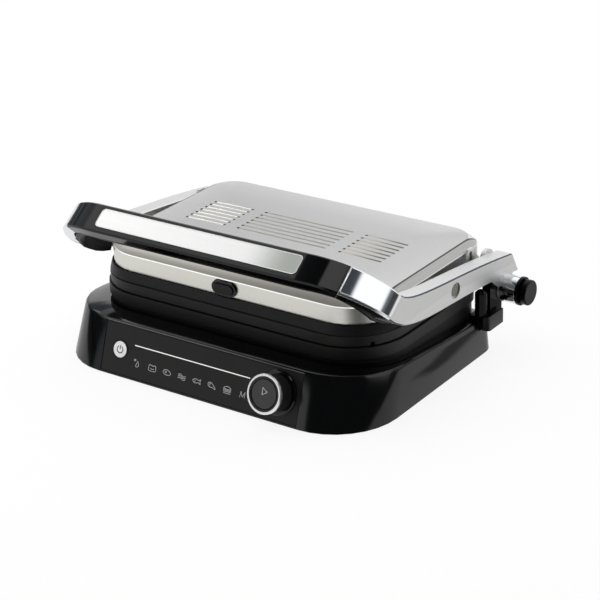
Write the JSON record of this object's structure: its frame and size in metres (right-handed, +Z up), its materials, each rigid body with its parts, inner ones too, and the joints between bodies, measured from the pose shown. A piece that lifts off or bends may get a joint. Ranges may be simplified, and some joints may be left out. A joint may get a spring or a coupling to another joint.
{
  "type": "contact_grill",
  "caption": "Contact grill: two ribbed plates under a steel lid that floats in cast arms, with a full-width handle, a sloping control panel and a push-turn dial.",
  "frame": {"origin": "middle of the footprint box, on the worktop under the feet", "axes": "+X to the dial side seen from the front, -Y to the front with the control panel, +Z up"},
  "size_m": [0.4244, 0.2938, 0.1603],
  "materials": {
    "gloss_black_plastic": "high gloss",
    "satin_black_plastic": "fine satin",
    "coated_cast_aluminium": "cast aluminium with a dark non-stick coating",
    "coated_sheet_steel": "black enamel on sheet steel",
    "brushed_steel": "brushed along the long side",
    "cast_aluminium": "satin cast, polished round the handle bends",
    "chrome": "polished",
    "white_plastic": "smooth white with a black symbol",
    "light_lens": "milky light guide",
    "black_rubber": "matte",
    "circuit_board": "green board",
    "heater_steel": "dull sheet and tube"
  },
  "bodies": {
    "base": {"base_housing": "gloss_black_plastic", "bottom_cover": "satin_black_plastic", "foot_front_left": "black_rubber", "foot_front_right": "black_rubber", "foot_rear_left": "black_rubber", "foot_rear_right": "black_rubber", "control_panel": "satin_black_plastic", "light_bar": "light_lens", "display_board": "circuit_board", "power_board": "circuit_board", "knob_encoder": "satin_black_plastic", "knob_bezel": "gloss_black_plastic", "heater_pan": "coated_sheet_steel", "lower_plate": "coated_cast_aluminium", "lower_element": "heater_steel", "lower_reflector": "heater_steel", "lower_clip_front": "heater_steel", "lower_clip_rear": "heater_steel", "hinge_housing_left": "satin_black_plastic", "hinge_housing_right": "satin_black_plastic", "hinge_post_left": "gloss_black_plastic", "hinge_post_right": "gloss_black_plastic", "cable_gland": "black_rubber"},
    "knob": {"selector_knob": "satin_black_plastic", "knob_ring": "chrome"},
    "start": {"start_button": "gloss_black_plastic"},
    "power": {"power_button": "white_plastic"},
    "tray": {"drip_tray": "satin_black_plastic"},
    "yoke": {"arm_left": "cast_aluminium", "arm_right": "cast_aluminium", "handle_bar": "gloss_black_plastic", "handle_inlay": "brushed_steel", "handle_under_cover": "satin_black_plastic", "arm_liner_left": "satin_black_plastic", "arm_liner_right": "satin_black_plastic", "lid_pivot_screw_left": "chrome", "lid_pivot_screw_right": "chrome", "hinge_pin_left": "chrome", "hinge_pin_right": "chrome", "tilt_pin_left": "chrome", "tilt_pin_right": "chrome", "hinge_collar_left": "satin_black_plastic", "hinge_collar_right": "satin_black_plastic", "hinge_end_cap": "gloss_black_plastic"},
    "release": {"hinge_release_button": "gloss_black_plastic"},
    "lid": {"lid_cover": "brushed_steel", "lid_bezel": "satin_black_plastic", "upper_plate": "coated_cast_aluminium", "upper_element": "heater_steel", "upper_reflector": "heater_steel", "upper_clip_front": "heater_steel", "upper_clip_rear": "heater_steel", "plate_release_frame": "gloss_black_plastic", "lid_pivot_left": "heater_steel", "lid_pivot_right": "heater_steel", "tilt_lug_left": "cast_aluminium", "tilt_lug_right": "cast_aluminium"},
    "plate_release": {"plate_release_button": "satin_black_plastic"}
  },
  "joints": [
    {"name": "arm_hinge", "type": "hinge", "parent": "base", "child": "yoke", "pos_m": [0, 0.12212, 0.0585], "axis": [-1, 0, 0], "range_deg": [0, 168]},
    {"name": "lid_tilt", "type": "hinge", "parent": "yoke", "child": "lid", "pos_m": [0, 0.02992, 0.0903], "axis": [-1, 0, 0], "range_deg": [0, 8]},
    {"name": "selector_turn", "type": "hinge", "parent": "base", "child": "knob", "pos_m": [0.0891, -0.12024, 0.02693], "axis": [0, -0.9415, 0.3371], "continuous": true},
    {"name": "start_press", "type": "slide", "parent": "base", "child": "start", "axis": [0, 0.9415, -0.3371], "range_m": [0, 0.0012], "stiffness_N_per_m": 600, "springref_m": -0.001},
    {"name": "power_press", "type": "slide", "parent": "base", "child": "power", "axis": [0, 0.9415, -0.3371], "range_m": [0, 0.0008], "stiffness_N_per_m": 600, "springref_m": -0.001},
    {"name": "tray_slide", "type": "slide", "parent": "base", "child": "tray", "axis": [0, 1, 0], "range_m": [0, 0.09]},
    {"name": "hinge_release_press", "type": "slide", "parent": "yoke", "child": "release", "axis": [-1, 0, 0], "range_m": [0, 0.0025], "stiffness_N_per_m": 500, "springref_m": -0.002},
    {"name": "plate_release_press", "type": "slide", "parent": "lid", "child": "plate_release", "axis": [0, 1, 0], "range_m": [0, 0.002], "stiffness_N_per_m": 500, "springref_m": -0.002}
  ],
  "couplings": [
    {"joint": "lid_tilt", "follows": "arm_hinge", "ratio": 0.0476}
  ]
}
